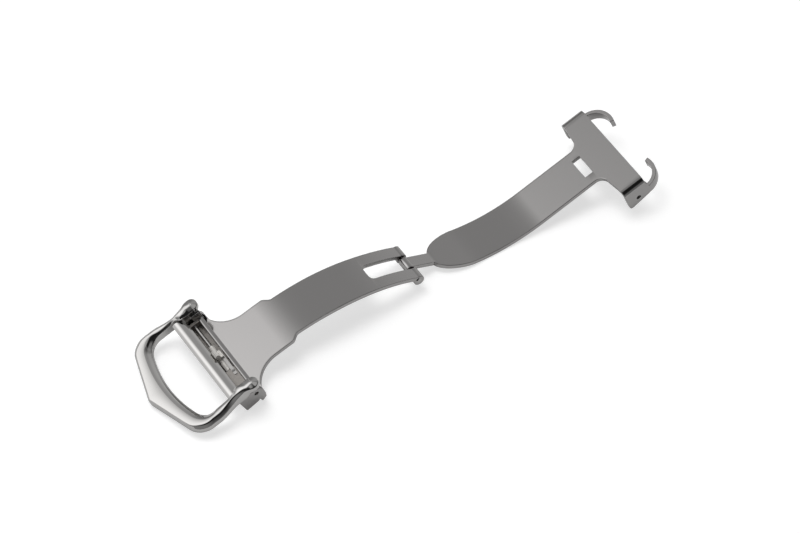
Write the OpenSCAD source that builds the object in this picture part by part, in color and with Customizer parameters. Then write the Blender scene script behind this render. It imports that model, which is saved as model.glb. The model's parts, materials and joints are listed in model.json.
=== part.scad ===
// Deployant clasp for a watch strap, lying open on a flat surface.
// Millimetres. +X runs from the pointed buckle tip to the strap end, +Z is up.

/* [Buckle frame] */
// Tilt of the frame plane, tip down
frame_tilt = 19.5; // [16:0.5:23]
// Thickness of the frame
frame_t = 1.9; // [1.6:0.1:2.1]
// Distance from the crossbar to the pointed tip
tip_reach = 10.45; // [9.5:0.05:12]
// Half of the greatest width of the D
ring_half_w = 10.55; // [10:0.05:11.5]
// Radius of the outer corners of the D
ring_corner_r = 3.5; // [2.5:0.1:4.5]
// Where the outer corners are centred, left of the crossbar
ring_corner_back = 4.6; // [4:0.1:5.2]
// Radius of the tip
tip_r = 1; // [0.6:0.1:1.6]
// Half of the width of the window in the D
window_half_w = 9.15; // [8.7:0.05:9.4]
// Depth of the window, from the crossbar to the front
window_reach = 6.5; // [5.5:0.1:7.2]
// Radius of the window's front edge
window_front_r = 22.8; // [19:0.2:28]
// Radius of the window's front corners
window_corner_r = 2.8; // [2:0.1:3.4]
// Round along the outer top edge
edge_round = 0.8; // [0.5:0.05:0.9]
// Drop of the slope around the window
slope_drop = 0.75; // [0.4:0.05:1]

/* [Crossbar and arms] */
// Width of the crossbar
bar_w = 2.3; // [2:0.05:2.35]
// Radius of the crossbar's round top
bar_r = 1.7; // [1.5:0.1:2]
// Inner face of the arms, from the middle
arm_in = 8.35; // [8.2:0.05:8.5]
// Outer face of the arms, from the middle
arm_out = 10.2; // [10:0.05:10.4]
// Length of the arms up to the middle of their round ends
arm_len = 4.5; // [4.3:0.05:4.8]
// Rise of the arms' tops at their round ends
arm_rise = 0.7; // [0.4:0.05:0.9]
// Rise of the arms' undersides at their round ends
arm_under = 1.3; // [1:0.05:1.3]
// Radius of the arms' round ends
lobe_r = 1.15; // [0.9:0.05:1.3]
// Sideways place of the round ends
lobe_y = 9.55; // [9.4:0.05:9.8]
// Radius of the lugs round the frame pins
lug_r = 0.85; // [0.7:0.05:0.9]

/* [Frame pivot] */
// Pivot, along the frame plane from the crossbar
pivot_a = 4.2; // [4:0.05:4.4]
// Pivot, below the frame's top
pivot_d = 3; // [2.9:0.05:3.1]
// Radius of the frame pins
frame_pin_r = 0.4; // [0.3:0.02:0.45]

/* [Channel and tooth] */
// Left edge of the strip, from the crossbar
strip_a = 4.02; // [3.95:0.01:4.1]
// Width of the strip
strip_w = 0.88; // [0.6:0.02:0.9]
// Top of the strip, below the frame's top
strip_d = 1.41; // [1.2:0.01:1.6]
// Half length of the strip
strip_half = 7.65; // [7.3:0.05:7.7]
// Underside of the channel, below the frame's top
channel_d = 3.7; // [3.5:0.05:3.75]
// Thickness of the channel's thin walls
channel_t = 0.3; // [0.2:0.02:0.35]
// Top of the block that holds the spring
block_d = 1.75; // [1.65:0.01:1.85]
// End of that block, from the middle
block_y = 3.6; // [3.55:0.05:4]
// Axle of the tooth, from the crossbar
axle_a = 3; // [2.95:0.01:3.05]
// Axle of the tooth, below the frame's top
axle_d = 2.3; // [2.25:0.01:2.4]
// Radius of the axle
axle_r = 0.3; // [0.2:0.02:0.32]
// Radius of the lever's sleeve
sleeve_r = 0.5; // [0.42:0.01:0.52]
// Width of the tooth
tooth_w = 1.45; // [1:0.05:1.8]
// Top of the tooth, below the frame's top
tooth_d = 0.08; // [0.02:0.02:0.4]
// Thickness of the leaf spring
leaf_t = 0.14; // [0.1:0.01:0.15]
// Width of the leaf spring
leaf_w = 0.54; // [0.4:0.02:0.58]
// Radius of the rivet's head
rivet_head_r = 0.26; // [0.2:0.01:0.27]

/* [Front blade] */
// Thickness of the front blade
front_t = 0.8; // [0.6:0.05:0.9]
// Radius of the front blade's arch
arch_r = 38; // [37:0.5:39]
// Top of the blade above the hinge pin
fork_rise = 0.8; // [0.7:0.05:0.95]
// Slope of the flat buckle end
root_deg = 18.4; // [17:0.1:19.5]
// Gap between the channel and the flat buckle end
root_gap = 0.41; // [0.38:0.01:0.8]
// Half width at the fork
fork_half_w = 3.9; // [3.6:0.05:4.1]
// Half width in the middle
front_half_w = 4.14; // [4.1:0.02:4.4]
// Half width behind the step
root_half_w = 5.05; // [4.8:0.05:5.3]
// Step in the edges, right of the crossbar
step_x = 15.5; // [15:0.1:16]
// Half width of the slot
slot_half_w = 1.58; // [1.5:0.02:1.7]
// Left end of the slot
slot_x = 32.2; // [31.5:0.1:32.4]
// Corner radius of the slot
slot_r = 0.9; // [0.5:0.05:1.1]
// Radius of the fork's knuckles
knuckle_r = 0.95; // [0.85:0.05:1]
// Radius of the flare at the buckle end
flare_r = 5.1; // [4.8:0.1:5.4]
// Right end of the flare, right of the crossbar
flare_x = 11.35; // [11:0.05:11.7]
// Left edge of the buckle end
root_from = 3.4; // [3.2:0.1:3.8]
// Right edge of the ears' crosspiece
root_to = 6.6; // [6.4:0.1:6.8]
// Outer face of the ears, from the middle
ear_out = 9.65; // [9.6:0.05:9.7]
// Thickness of the ears
ear_t = 0.8; // [0.6:0.05:0.84]
// Lowest point of the ears above the table
ear_low = 0.5; // [0.3:0.05:0.8]

/* [Middle hinge] */
// Hinge pin, right of the crossbar
hinge_x = 40.2; // [40:0.05:40.4]
// Hinge pin above the table
hinge_z = 3.25; // [3.2:0.05:3.3]
// Radius of the hinge pin
hinge_pin_r = 0.4; // [0.3:0.02:0.45]
// Half width of the neck
neck_half_w = 1.17; // [1:0.02:1.3]
// Radius of the neck's knuckle
neck_r = 0.85; // [0.75:0.05:0.9]

/* [Rear blade] */
// Thickness of the rear blade
rear_t = 0.8; // [0.6:0.05:0.9]
// End of the neck, right of the crossbar
neck_end = 45.1; // [44.8:0.1:45.4]
// Length over which the shoulders widen
shoulder_len = 6.1; // [5.5:0.1:6.5]
// Half width at the shoulders
rear_half_w = 3.91; // [3.7:0.02:4]
// Half width at the waist and on to the T end
waist_half_w = 3.77; // [3.6:0.01:3.85]
// Where the blade has narrowed to its waist, right of the crossbar
waist_x = 65; // [60:0.5:70]
// Lowest point of the belly, right of the crossbar
belly_x = 55.3; // [55:0.1:55.6]
// Radius of the belly
belly_r = 29.2; // [28:0.2:31]
// Slope of the blade before the belly
fall_deg = 9.5; // [8.5:0.5:10]
// Slope of the blade after the belly
rise_deg = 19.5; // [18:0.5:21]
// Edge of the T end, right of the crossbar
tee_x = 81.4; // [80:0.2:83]

/* [Strap end] */
// Half width of the T end over its ears
tee_half_w = 9.6; // [9:0.05:10.5]
// Outer bend radius of the ears
bend_r = 1.3; // [1:0.05:1.4]
// Thickness of the ears of the T end
tee_ear_t = 0.75; // [0.6:0.05:0.8]
// Length of the T bar along the blade
tee_bar_l = 4.3; // [3.8:0.1:4.8]
// Fillet between the blade and the T bar
tee_fillet_r = 1.7; // [1.2:0.1:1.9]
// Depth of the ears at their inner end
tee_ear_deep = 5; // [4.8:0.1:5.4]
// Depth of the ears at their hook end
tee_ear_shallow = 4.2; // [4.1:0.1:4.5]
// Near edge of the window, from the T edge
win_to = 5.5; // [5.3:0.05:5.8]
// Length of the window along the blade
win_l = 1.63; // [1.4:0.05:1.9]
// Half width of the window
win_half_w = 2; // [1.8:0.02:2.4]
// Outer radius of the hooks
hook_r = 3.5; // [3:0.1:4]
// Thickness of the hooks
hook_t = 0.7; // [0.5:0.05:0.75]
// Top of the hooks, below the T end's top
hook_top = 2.3; // [1.9:0.1:2.4]
// Height of the hooks
hook_h = 1.9; // [1.5:0.1:1.9]
// Sweep of the hooks past square
hook_past = 20; // [10:1:35]
// Spring bar, from the T edge
bar_p = 2.13; // [2:0.05:2.4]
// Spring bar, below the T end's top
bar_q = 3.2; // [3:0.05:3.3]
// Radius of the spring bar's tube
tube_r = 0.75; // [0.65:0.05:0.85]
// Radius of the spring bar's tips
tip_pin_r = 0.4; // [0.3:0.02:0.42]

/* [Hidden] */
$fn = 64;
// Running clearance of a pin in a turning bore
run_gap = 0.05;
// Overlap that joins the solids of one piece
weld = 0.2;
// Gap between pieces that rest on each other
rest_gap = 0.02;

bar_z = tip_reach * sin(frame_tilt) + frame_t * cos(frame_tilt);
x_min = -tip_reach * cos(frame_tilt) + edge_round * (cos(frame_tilt) + sin(frame_tilt) - 1);
rise_x = belly_x + belly_r * sin(rise_deg);
rise_z = rear_t + belly_r * (1 - cos(rise_deg));
tee_z = rise_z + (tee_x - rise_x) * tan(rise_deg);
x_max = tee_x + hook_r * cos(rise_deg) + (hook_top + hook_h) * sin(rise_deg);
x_mid = (x_min + x_max) / 2;
ear_in = ear_out - ear_t;
lug_out = ear_in - 0.1;
lug_in = lug_out - 0.7;
channel_half = lug_in - rest_gap;

function arc(c, r, a0, a1, n) = [for (i = [0:n]) c + r * [cos(a0 + (a1 - a0) * i / n), sin(a0 + (a1 - a0) * i / n)]];
function flip(pts) = [for (i = [len(pts) - 1:-1:0]) [pts[i][0], -pts[i][1]]];
function ease(u) = u <= 0 ? 0 : u >= 1 ? 1 : u * u * (3 - 2 * u);
function mix(a, b, u) = a + (b - a) * u;

module placed() {
    translate([-x_mid, 0, 0]) children();
}

// Local frame of the buckle: x along the frame plane, z up from its top face.
module in_frame() {
    placed() translate([0, 0, bar_z]) rotate([0, -frame_tilt, 0]) children();
}

// Local frame of the strap end: x from the T edge, z up from its top face.
module in_tee() {
    placed() translate([tee_x, 0, tee_z]) rotate([0, -rise_deg, 0]) children();
}

// Extrudes an outline drawn in x and z from y0 to y1.
module side(y0, y1) {
    translate([0, y1, 0]) rotate([90, 0, 0]) linear_extrude(height = y1 - y0) children();
}

// A round bar along Y.
module rod(r, y0, y1) {
    side(y0, y1) circle(r);
}

module both() {
    children();
    mirror([0, 1, 0]) children();
}

// The D: a section swept along matching outer and inner edges, from the far arm to the tip.
ring_corner_y = ring_half_w - ring_corner_r;
tip_c = -tip_reach + tip_r;
span = [tip_c + ring_corner_back, -ring_corner_y];
vee_ang = atan2(span[1], span[0]) + 360 - acos((ring_corner_r - tip_r) / norm(span));
win_c = -window_reach + window_front_r;
win_y = window_half_w - window_corner_r;
win_a = win_c - sqrt(pow(window_front_r - window_corner_r, 2) - pow(win_y, 2));
win_ang = atan2(win_y, win_a - win_c);
// Behind the corners the D narrows to the arms, and its top and underside rise to their round ends.
narrow_from = -3.2;
narrow_l = 4.4;
rise_from = -2;
rise_l = 5;
under_from = 2.2;
under_l = 1.6;
end_t = frame_t + arm_rise - arm_under;
function side_y(a) = mix(ring_half_w, arm_out, ease((a - narrow_from) / narrow_l));
function lift(a) = arm_rise * ease((a - rise_from) / rise_l);
function thick(a) = frame_t + lift(a) - arm_under * ease((a - under_from) / under_l);
bar_mid = 0.9;
arm_root = bar_w - 0.6;
arm_n = 10;
arm_steps = [for (i = [0:arm_n]) let (a = mix(arm_len, arm_root, i / arm_n)) [[a, side_y(a)], [a, arm_in]]];
bar_steps = [for (a = [bar_mid, bar_mid / 2, 0]) [[a, side_y(a)], [a, window_half_w]]];
flank_steps = [for (u = [0.125:0.125:0.875])
    [[-ring_corner_back * u, side_y(-ring_corner_back * u)], [win_a * u, window_half_w]]];
corner_n = 14;
corner_out = arc([-ring_corner_back, ring_corner_y], ring_corner_r, 90, vee_ang, corner_n);
corner_in = arc([win_a, win_y], window_corner_r, 90, win_ang, corner_n);
vee_n = 14;
vee_start = corner_out[corner_n];
vee_end = [tip_c, 0] + tip_r * [cos(vee_ang), sin(vee_ang)];
front_stop = 179;
vee_in = arc([win_c, 0], window_front_r, win_ang, front_stop, vee_n);
tip_n = 4;
tip_out = arc([tip_c, 0], tip_r, vee_ang, 180, tip_n);
tip_in = arc([win_c, 0], window_front_r, front_stop, 180, tip_n);
half_ring = concat(
    arm_steps,
    bar_steps,
    flank_steps,
    [for (i = [0:corner_n]) [corner_out[i], corner_in[i]]],
    [for (i = [1:vee_n]) [mix(vee_start, vee_end, i / vee_n), vee_in[i]]],
    [for (i = [1:tip_n]) [tip_out[i], tip_in[i]]]
);
ring_last = len(half_ring) - 1;
ring_steps = concat(half_ring,
    [for (i = [ring_last - 1:-1:0]) [[half_ring[i][0][0], -half_ring[i][0][1]],
                                     [half_ring[i][1][0], -half_ring[i][1][1]]]]);
// Section points: distance in from the outer edge, share of the width, height.
round_n = 5;
top_share = 0.76;
slope_share = 0.82;
slope_start = 0.06;
section = concat(
    [[0, 0, -frame_t]],
    [for (i = [0:round_n]) [edge_round * (1 - cos(90 * i / round_n)), 0,
                            -edge_round * (1 - sin(90 * i / round_n))]],
    [[0, top_share, 0], [0, slope_share, -slope_start], [0, 1, -slope_drop], [0, 1, -frame_t]]
);
sec_n = len(section);
function ring_point(step, s) =
    let (w = norm(step[1] - step[0]), q = mix(step[0], step[1], s[1] + s[0] / w))
    [q[0], q[1], lift(q[0]) + s[2] * thick(q[0]) / frame_t];
ring_points = [for (step = ring_steps) for (s = section) ring_point(step, s)];
ring_n = len(ring_steps);
ring_faces = concat(
    [[for (j = [sec_n - 1:-1:0]) j]],
    [[for (j = [0:sec_n - 1]) (ring_n - 1) * sec_n + j]],
    [for (i = [0:ring_n - 2]) for (j = [0:sec_n - 1]) for (k = [0, 1])
        let (a = i * sec_n + j, b = i * sec_n + (j + 1) % sec_n)
        k == 0 ? [a, b, a + sec_n] : [b, b + sec_n, a + sec_n]]
);

module lobe() {
    translate([arm_len, lobe_y, arm_rise]) rotate_extrude() polygon(concat(
        [[0, -end_t], [lobe_r, -end_t]],
        [for (q = arc([0, 0], edge_round, 0, 90, 6))
            [lobe_r - edge_round + q[0], (q[1] - edge_round) * end_t / frame_t]],
        [[0, 0]]
    ));
}

module buckle_frame() {
    lug_top = end_t - arm_rise - 0.15;
    bar_drop = 0.03;
    color("silver") in_frame() difference() {
        union() {
            polyhedron(points = ring_points, faces = ring_faces, convexity = 8);
            side(-window_half_w - weld, window_half_w + weld) intersection() {
                translate([bar_mid, -bar_r - bar_drop]) circle(bar_r);
                translate([0, -frame_t]) square([bar_w, frame_t]);
            }
            both() lobe();
            both() side(lug_in, lug_out) {
                translate([pivot_a, -pivot_d]) circle(lug_r);
                translate([pivot_a - lug_r, -pivot_d]) square([2 * lug_r, pivot_d - lug_top]);
            }
        }
        both() translate([pivot_a, 0, -pivot_d]) rod(frame_pin_r + run_gap, lug_in - 1, lug_out + weld);
    }
}

module frame_pin_far() {
    recess = 0.35;
    color("gainsboro") in_frame() translate([pivot_a, 0, -pivot_d])
        rod(frame_pin_r, lug_in + rest_gap, ear_out - recess);
}

module frame_pin_near() {
    mirror([0, 1, 0]) frame_pin_far();
}

// Channel and tooth
wall_a = bar_w - channel_t + rest_gap;
axle_grip = 0.8;
rivet_y = block_y + 0.7;
rivet_r = 0.14;
rivet_head_h = 0.16;
leaf_from = axle_a + 0.28;
leaf_mid = leaf_from + leaf_w / 2;
leaf_start = block_y + 1.5;
tooth_y = -0.43;
tail_t = 0.4;
tail_d = block_d - leaf_t - rest_gap;

module trough_box() {
    low = [wall_a, -channel_d];
    strip_end = strip_a + strip_w - wall_a;
    block_a = wall_a + channel_t - 0.1;
    color("gray") in_frame() difference() {
        union() {
            side(-channel_half, channel_half) {
                translate(low) square([channel_t, channel_d - frame_t - rest_gap]);
                translate(low) square([strip_end, channel_t]);
            }
            side(-strip_half, strip_half) translate([strip_a, -channel_d]) square([strip_w, channel_d - strip_d]);
            both() side(strip_half - weld, channel_half)
                translate(low) square([strip_end, channel_d - frame_t - rest_gap]);
            side(-strip_half, -block_y) translate([block_a, -channel_d])
                square([strip_a - block_a + weld, channel_d - block_d]);
        }
        translate([axle_a, 0, -axle_d]) rod(axle_r, -block_y - axle_grip, channel_half + weld);
        translate([leaf_mid, -rivet_y, -channel_d + channel_t]) cylinder(r = rivet_r, h = channel_d);
    }
}

module lever_axle() {
    color("gainsboro") in_frame() translate([axle_a, 0, -axle_d])
        rod(axle_r, -block_y - axle_grip, channel_half);
}

module tooth_lever() {
    left = axle_a - sleeve_r;
    right = axle_a + 0.2;
    crest = axle_a - 0.25;
    reach = leaf_from + leaf_w - 0.08;
    back_d = 0.35;
    flank_d = 0.5;
    foot_d = 1.1;
    sleeve_end = 2.2;
    side_gap = 0.1;
    color("lightgray") in_frame() difference() {
        union() {
            translate([axle_a, 0, -axle_d]) rod(sleeve_r, -block_y + side_gap, sleeve_end);
            side(tooth_y - tooth_w / 2, tooth_y + tooth_w / 2) polygon([
                [left + 0.1, -axle_d], [left, -foot_d], [left - 0.12, -flank_d], [crest, -tooth_d],
                [right, -back_d], [right + 0.1, tail_t - tail_d], [reach, tail_t - tail_d],
                [reach, -tail_d], [right, -tail_d], [right, -axle_d]
            ]);
        }
        translate([axle_a, 0, -axle_d]) rod(axle_r + 0.04, -block_y, sleeve_end + weld);
    }
}

module leaf_spring() {
    leaf_end = tooth_y + tooth_w / 2 - 0.1;
    color("silver") in_frame() difference() {
        translate([leaf_from, -leaf_start, -block_d]) cube([leaf_w, leaf_start + leaf_end, leaf_t]);
        translate([leaf_mid, -rivet_y, -block_d - 1]) cylinder(r = rivet_r, h = 2);
    }
}

module leaf_rivet() {
    color("white") in_frame() translate([leaf_mid, -rivet_y, 0]) {
        translate([0, 0, channel_t - channel_d]) cylinder(r = rivet_r, h = channel_d - channel_t - block_d + leaf_t);
        translate([0, 0, leaf_t - block_d]) rotate_extrude() intersection() {
            translate([0, -rivet_head_h]) circle(r = 2 * rivet_head_h);
            square([rivet_head_r, rivet_head_h]);
        }
    }
}

// Front blade
// The flat end lies under the channel, and the arch touches it and the fork.
pivot = [pivot_a * cos(frame_tilt) + pivot_d * sin(frame_tilt),
         bar_z + pivot_a * sin(frame_tilt) - pivot_d * cos(frame_tilt)];
root_u = [cos(root_deg), sin(root_deg)];
root_n = [-sin(root_deg), cos(root_deg)];
root_at = pivot - (channel_d - pivot_d + root_gap) * root_n;
to_hinge = root_at - arch_r * root_n - [hinge_x, hinge_z];
along = -to_hinge * root_u - sqrt(pow(to_hinge * root_u, 2) - to_hinge * to_hinge + pow(arch_r - fork_rise, 2));
arch_start = root_at + along * root_u;
arch_c = arch_start - arch_r * root_n;
step_l = 1.6;
taper_from = 22;
taper_l = 16;
flare_turn = 66;
flare_n = 16;
reach_y = 12;

function front_w(x) =
    mix(root_half_w, front_half_w, ease((x - step_x) / step_l + 0.5))
    - (front_half_w - fork_half_w) * ease((x - taper_from) / taper_l);

module front_plan() {
    flare = arc([flare_x, root_half_w + flare_r], flare_r, 270, 270 - flare_turn, flare_n);
    edge = concat(
        [[root_to, flare[flare_n][1]]],
        [for (i = [flare_n:-1:0]) flare[i]],
        [for (x = [flare_x + 1:0.25:hinge_x]) [x, front_w(x)]]
    );
    polygon(concat(edge, flip(edge)));
    translate([root_from, -ear_out]) square([root_to - root_from, 2 * ear_out]);
}

module front_profile() {
    flat_l = (arch_start[0] - root_from + 2) / cos(root_deg);
    intersection() {
        difference() {
            translate(arch_c) circle(arch_r, $fn = 180);
            translate(arch_c) circle(arch_r - front_t, $fn = 180);
        }
        translate([arch_start[0] - 0.1, 0]) square([hinge_x - arch_start[0] + 0.1, 10]);
    }
    translate(arch_start) rotate(root_deg) translate([-flat_l, -front_t])
        square([flat_l, front_t]);
}

// The ears are drawn in the buckle's local frame, so that the arms rest on them.
// Their lower corners are given right of the crossbar and above the table.
ear_foot = 3.15;
ear_heel = [[root_to, 3.05], [6.9, 1.9], [6.1, 1.1], [5.62, 1.95], [5.4, 1.6]];

module front_ear() {
    top = frame_t + rest_gap;
    crown = pivot_d - frame_t - 0.06;
    shelf = [0.8, 0.95];
    plane_u = [cos(frame_tilt), sin(frame_tilt)];
    plane_n = [-sin(frame_tilt), cos(frame_tilt)];
    function local(x, z) = [[x, z - bar_z] * plane_u, [x, z - bar_z] * plane_n];
    polygon(concat(
        [local(ear_foot, ear_low), [shelf[0], -top - 0.3], [shelf[1], -top], [pivot_a - 0.3, -top]],
        arc([pivot_a, -pivot_d], crown, 80, 45, 4),
        [[pivot_a + 1.25, 0.05 - pivot_d]],
        [for (c = ear_heel) local(c[0], c[1])]
    ));
}

module front_blade() {
    color("silver") difference() {
        union() {
            placed() intersection() {
                side(-reach_y, reach_y) front_profile();
                linear_extrude(height = reach_y) front_plan();
            }
            both() in_frame() side(ear_in, ear_out) front_ear();
            placed() both() translate([hinge_x, 0, hinge_z]) rod(knuckle_r, slot_half_w, fork_half_w);
        }
        placed() linear_extrude(height = reach_y) {
            translate([slot_x, slot_r - slot_half_w]) square([20, 2 * (slot_half_w - slot_r)]);
            translate([slot_x + slot_r, -slot_half_w]) square([20, 2 * slot_half_w]);
            both() translate([slot_x + slot_r, slot_half_w - slot_r]) circle(slot_r);
        }
        placed() translate([hinge_x, 0, hinge_z]) rod(hinge_pin_r, -fork_half_w - 1, fork_half_w + 1);
        in_frame() translate([pivot_a, 0, -pivot_d]) {
            rod(frame_pin_r, -ear_out - 1, -lug_out);
            rod(frame_pin_r, lug_out, ear_out + 1);
        }
    }
}

module mid_pin() {
    color("gainsboro") placed() translate([hinge_x, 0, hinge_z])
        rod(hinge_pin_r, -fork_half_w, fork_half_w);
}

// Rear blade
fall_x = belly_x - belly_r * sin(fall_deg);
fall_z = rear_t + belly_r * (1 - cos(fall_deg));
neck_z = fall_z + (fall_x - neck_end) * tan(fall_deg);
neck_deg = atan2(hinge_z + neck_r - neck_z, neck_end - hinge_x);
tee_root = 7;
shoulder_x = neck_end + shoulder_len;
shoulder_power = 1.75;

function rear_w(x) =
    let (u = (x - neck_end) / shoulder_len, n = shoulder_power)
    u <= 0 ? neck_half_w
    : u < 1 ? neck_half_w + (rear_half_w - neck_half_w) * pow(1 - pow(1 - u, n), 1 / n)
    : waist_half_w + (rear_half_w - waist_half_w) * pow(max(0, waist_x - x) / (waist_x - shoulder_x), 2);

module rear_plan() {
    stop = rear_end + 1;
    edge = concat(
        [[hinge_x, neck_half_w]],
        [for (u = [0, 0.02, 0.06, 0.12, 0.2]) [neck_end + shoulder_len * u, rear_w(neck_end + shoulder_len * u)]],
        [for (x = [neck_end + shoulder_len * 0.28:0.5:stop]) [x, rear_w(x)]]
    );
    polygon(concat(edge, flip(edge)));
}

// Stations of the rear blade's top face: x, z, slope.
belly_c = [belly_x, rear_t + belly_r];
neck_blend = 0.5;
rear_end = tee_x - tee_root * cos(rise_deg);
rear_stations = concat(
    [[hinge_x, hinge_z + neck_r, -neck_deg],
     [neck_end - neck_blend, neck_z + neck_blend * tan(neck_deg), -neck_deg],
     [neck_end + neck_blend, neck_z - neck_blend * tan(fall_deg), -fall_deg]],
    [for (i = [0:20]) let (s = mix(-fall_deg, rise_deg, i / 20))
        [belly_x + belly_r * sin(s), belly_c[1] - belly_r * cos(s), s]],
    [[rear_end, tee_z - tee_root * sin(rise_deg), rise_deg]]
);

module rear_profile() {
    last = len(rear_stations) - 1;
    polygon(concat(
        [for (p = rear_stations) [p[0], p[1]]],
        [for (i = [last:-1:0]) let (p = rear_stations[i])
            [p[0] + rear_t * sin(p[2]), p[1] - rear_t * cos(p[2])]]
    ));
}

// Top of the T end, without its ears.
tee_fillet_to = tee_bar_l + 0.35;
tee_step_y = 7.6;
tee_ear_r = 0.6;
tee_ear_over = 0.3;

module tee_plan() {
    inner = tee_half_w - tee_ear_t;
    edge = concat(
        [[-tee_root, waist_half_w]],
        arc([-tee_fillet_to - tee_fillet_r, waist_half_w + tee_fillet_r], tee_fillet_r, 270, 360, 10),
        [[-tee_bar_l, tee_step_y], [-tee_bar_l, inner + weld], [0, inner + weld]]
    );
    polygon(concat(edge, flip(edge)));
}

// One ear of the T end, seen from the side.
module tee_ear() {
    polygon(concat(
        [[-tee_bar_l, 0], [0, 0], [tee_ear_over, -bend_r]],
        arc([tee_ear_over - tee_ear_r, tee_ear_r - tee_ear_shallow], tee_ear_r, 0, -80, 5),
        arc([tee_ear_r - tee_bar_l, tee_ear_r - tee_ear_deep], tee_ear_r, -80, -180, 5)
    ));
}

// What the bend of an ear takes off the square corner.
module bend_cut() {
    translate([-tee_bar_l - 1, tee_half_w - bend_r, -bend_r]) rotate([90, 0, 90])
        linear_extrude(height = tee_bar_l + 2) polygon(concat(
            arc([0, 0], bend_r, 0, 90, 12),
            [[0, bend_r + 1], [bend_r + 1, bend_r + 1], [bend_r + 1, 0]]
        ));
}

module hook() {
    c = [0, tee_half_w - hook_r];
    translate([c[0], c[1], -hook_top - hook_h]) linear_extrude(height = hook_h) difference() {
        intersection() {
            circle(hook_r);
            polygon([[0, 0], [0, 9], [9, 9], [9, -9 * tan(hook_past)]]);
        }
        circle(hook_r - hook_t);
    }
}

module rear_blade() {
    color("darkgray") difference() {
        union() {
            placed() intersection() {
                side(-reach_y, reach_y) rear_profile();
                linear_extrude(height = reach_y) rear_plan();
            }
            placed() translate([hinge_x, 0, hinge_z]) rod(neck_r, -neck_half_w, neck_half_w);
            in_tee() difference() {
                union() {
                    translate([0, 0, -rear_t]) linear_extrude(height = rear_t) tee_plan();
                    both() side(tee_half_w - tee_ear_t, tee_half_w) tee_ear();
                }
                both() bend_cut();
            }
            in_tee() both() hook();
        }
        placed() translate([hinge_x, 0, hinge_z]) rod(hinge_pin_r + run_gap, -neck_half_w - 1, neck_half_w + 1);
        in_tee() translate([-win_to - win_l, -win_half_w, -rear_t - 1])
            cube([win_l, 2 * win_half_w, rear_t + 2]);
        in_tee() translate([-bar_p, 0, -bar_q]) rod(tip_pin_r + run_gap, -tee_half_w - 1, tee_half_w + 1);
    }
}

// Spring bar
tube_half = tee_half_w - tee_ear_t - 0.35;
piston_r = tube_r - 0.2;
piston_l = 1;
cap_t = 0.3;
travel = 0.8;

module spring_bar_tube() {
    color("gray") in_tee() translate([-bar_p, 0, -bar_q]) difference() {
        rod(tube_r, -tube_half, tube_half);
        rod(piston_r + run_gap, cap_t - tube_half, tube_half - cap_t);
        rod(tip_pin_r + run_gap, -tube_half - 1, tube_half + 1);
    }
}

module spring_bar_coil() {
    coil_half = tube_half - cap_t - travel - piston_l;
    color("dimgray") in_tee() translate([-bar_p, 0, -bar_q]) difference() {
        rod(piston_r, -coil_half, coil_half);
        rod(piston_r - 0.2, -tube_half, tube_half);
    }
}

module spring_bar_tip_far() {
    recess = 0.3;
    color("gainsboro") in_tee() translate([-bar_p, 0, -bar_q]) {
        rod(tip_pin_r, tube_half - cap_t - piston_l, tee_half_w - recess);
        rod(piston_r, tube_half - cap_t - piston_l, tube_half - cap_t - rest_gap);
    }
}

module spring_bar_tip_near() {
    mirror([0, 1, 0]) spring_bar_tip_far();
}

buckle_frame();
frame_pin_far();
frame_pin_near();
trough_box();
lever_axle();
tooth_lever();
leaf_spring();
leaf_rivet();
front_blade();
mid_pin();
rear_blade();
spring_bar_tube();
spring_bar_coil();
spring_bar_tip_far();
spring_bar_tip_near();
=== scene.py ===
"""Deployant clasp lying open on a white table.

The buckle frame, both blades and the channel are worked out here as surfaces, in millimetres,
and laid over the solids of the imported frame. Pins and springs keep their own solids.
"""
import json
import math

import bmesh
import bpy
import numpy as np
from mathutils import Matrix

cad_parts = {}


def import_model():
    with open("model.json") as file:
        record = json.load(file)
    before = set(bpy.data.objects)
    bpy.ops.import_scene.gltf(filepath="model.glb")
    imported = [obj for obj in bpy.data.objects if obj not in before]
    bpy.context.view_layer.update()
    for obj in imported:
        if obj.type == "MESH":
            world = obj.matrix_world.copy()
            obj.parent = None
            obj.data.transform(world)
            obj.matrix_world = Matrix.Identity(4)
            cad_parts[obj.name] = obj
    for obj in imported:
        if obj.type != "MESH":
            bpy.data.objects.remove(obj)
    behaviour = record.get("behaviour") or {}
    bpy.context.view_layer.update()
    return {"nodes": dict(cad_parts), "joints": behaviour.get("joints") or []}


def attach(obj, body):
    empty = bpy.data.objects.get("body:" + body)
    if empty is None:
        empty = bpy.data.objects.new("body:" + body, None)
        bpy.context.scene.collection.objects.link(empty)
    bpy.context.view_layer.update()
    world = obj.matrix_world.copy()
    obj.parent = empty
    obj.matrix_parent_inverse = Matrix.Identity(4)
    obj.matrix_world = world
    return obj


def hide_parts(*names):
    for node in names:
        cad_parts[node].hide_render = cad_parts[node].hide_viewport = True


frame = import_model()
joints = {j["name"]: j for j in frame["joints"]}

MM = 0.001
# Points closer than this, in metres, become one.
SAME = 2e-7

# Sizes in millimetres. X counts from the crossbar's left top edge, as the clasp was measured.
HINGE_X, HINGE_Z = 40.2, 3.25
X_MID = HINGE_X - joints["blade_fold"]["pos_m"][0] / MM
TILT = math.radians(19.5)
FRAME_T = 1.9
TIP_REACH = 10.45
BAR_Z = TIP_REACH * math.sin(TILT) + FRAME_T * math.cos(TILT)
PIVOT = (4.2, -3.0)
LUG_IN, LUG_OUT = 8.05, 8.75
RISE = math.radians(19.5)
FALL = math.radians(9.5)
TEE_X = 81.4
REAR_T = 0.8
BELLY_X, BELLY_R = 55.3, 29.2


def in_world(q):
    """Points in the measured frame, moved to the row frame."""
    return (q - np.array([X_MID, 0, 0])) * MM


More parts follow.
